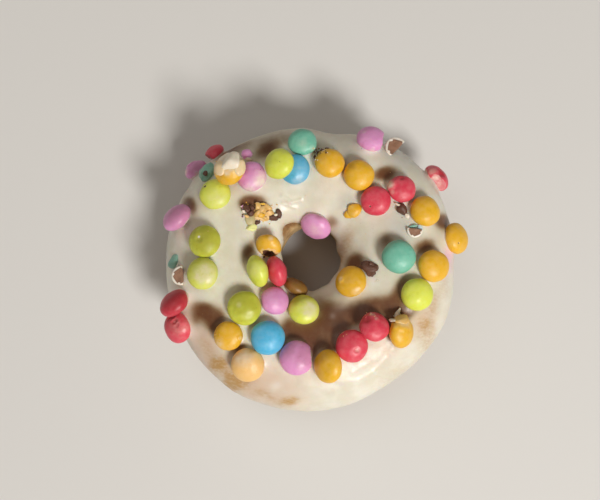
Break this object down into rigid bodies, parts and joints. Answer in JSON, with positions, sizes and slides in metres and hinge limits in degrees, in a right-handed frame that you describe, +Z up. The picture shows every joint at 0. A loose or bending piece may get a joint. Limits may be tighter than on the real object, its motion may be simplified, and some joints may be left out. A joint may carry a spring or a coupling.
{
  "type": "iced ring doughnut",
  "caption": "Ring doughnut with pale icing over its top and sides, dotted with small sugar-shelled chocolate beans and bits of broken ones.",
  "frame": {"origin": "middle of the ground under the doughnut, at the centre of its box", "axes": "+Z up through the hole; +X to the right and +Y away as the doughnut is seen from above"},
  "size_m": [0.0928, 0.0882, 0.04],
  "materials": {
    "dough": "fried dough, matte with a fine crumb",
    "icing": "thin sugar icing, satin and slightly see-through",
    "shell_lime": "coloured sugar shell, satin",
    "shell_orange": "coloured sugar shell, satin",
    "shell_red": "coloured sugar shell, satin",
    "shell_pink": "coloured sugar shell, satin",
    "shell_blue": "coloured sugar shell, satin",
    "shell_teal": "coloured sugar shell, satin",
    "shell_peach": "coloured sugar shell, satin"
  },
  "bodies": {
    "root": {"bean_01_red": "shell_red", "bean_02_pink": "shell_pink", "bean_03_orange": "shell_orange", "bean_04_pink": "shell_pink", "bean_05_lime": "shell_lime", "bean_06_pink": "shell_pink", "bean_07_lime": "shell_lime", "bean_08_lime": "shell_lime", "bean_09_red": "shell_red", "bean_10_red": "shell_red", "bean_11_orange": "shell_orange", "bean_12_lime": "shell_lime", "bean_13_red": "shell_red", "bean_14_pink": "shell_pink", "bean_15_lime": "shell_lime", "bean_16_orange": "shell_orange", "bean_17_blue": "shell_blue", "bean_18_peach": "shell_peach", "bean_19_orange": "shell_orange", "bean_20_lime": "shell_lime", "bean_21_pink": "shell_pink", "bean_22_orange": "shell_orange", "bean_23_red": "shell_red", "bean_24_red": "shell_red", "bean_25_orange": "shell_orange", "bean_26_lime": "shell_lime", "bean_27_orange": "shell_orange", "bean_28_teal": "shell_teal", "bean_29_orange": "shell_orange", "bean_30_orange": "shell_orange", "bean_31_red": "shell_red", "bean_32_red": "shell_red", "bean_33_red": "shell_red", "bean_34_orange": "shell_orange", "bean_35_orange": "shell_orange", "bean_36_teal": "shell_teal", "bean_37_blue": "shell_blue", "bean_38_lime": "shell_lime", "bean_39_pink": "shell_pink", "bean_40_pink": "shell_pink", "bean_41_orange": "shell_orange", "dough_ring": "dough", "icing": "icing"}
  },
  "joints": []
}
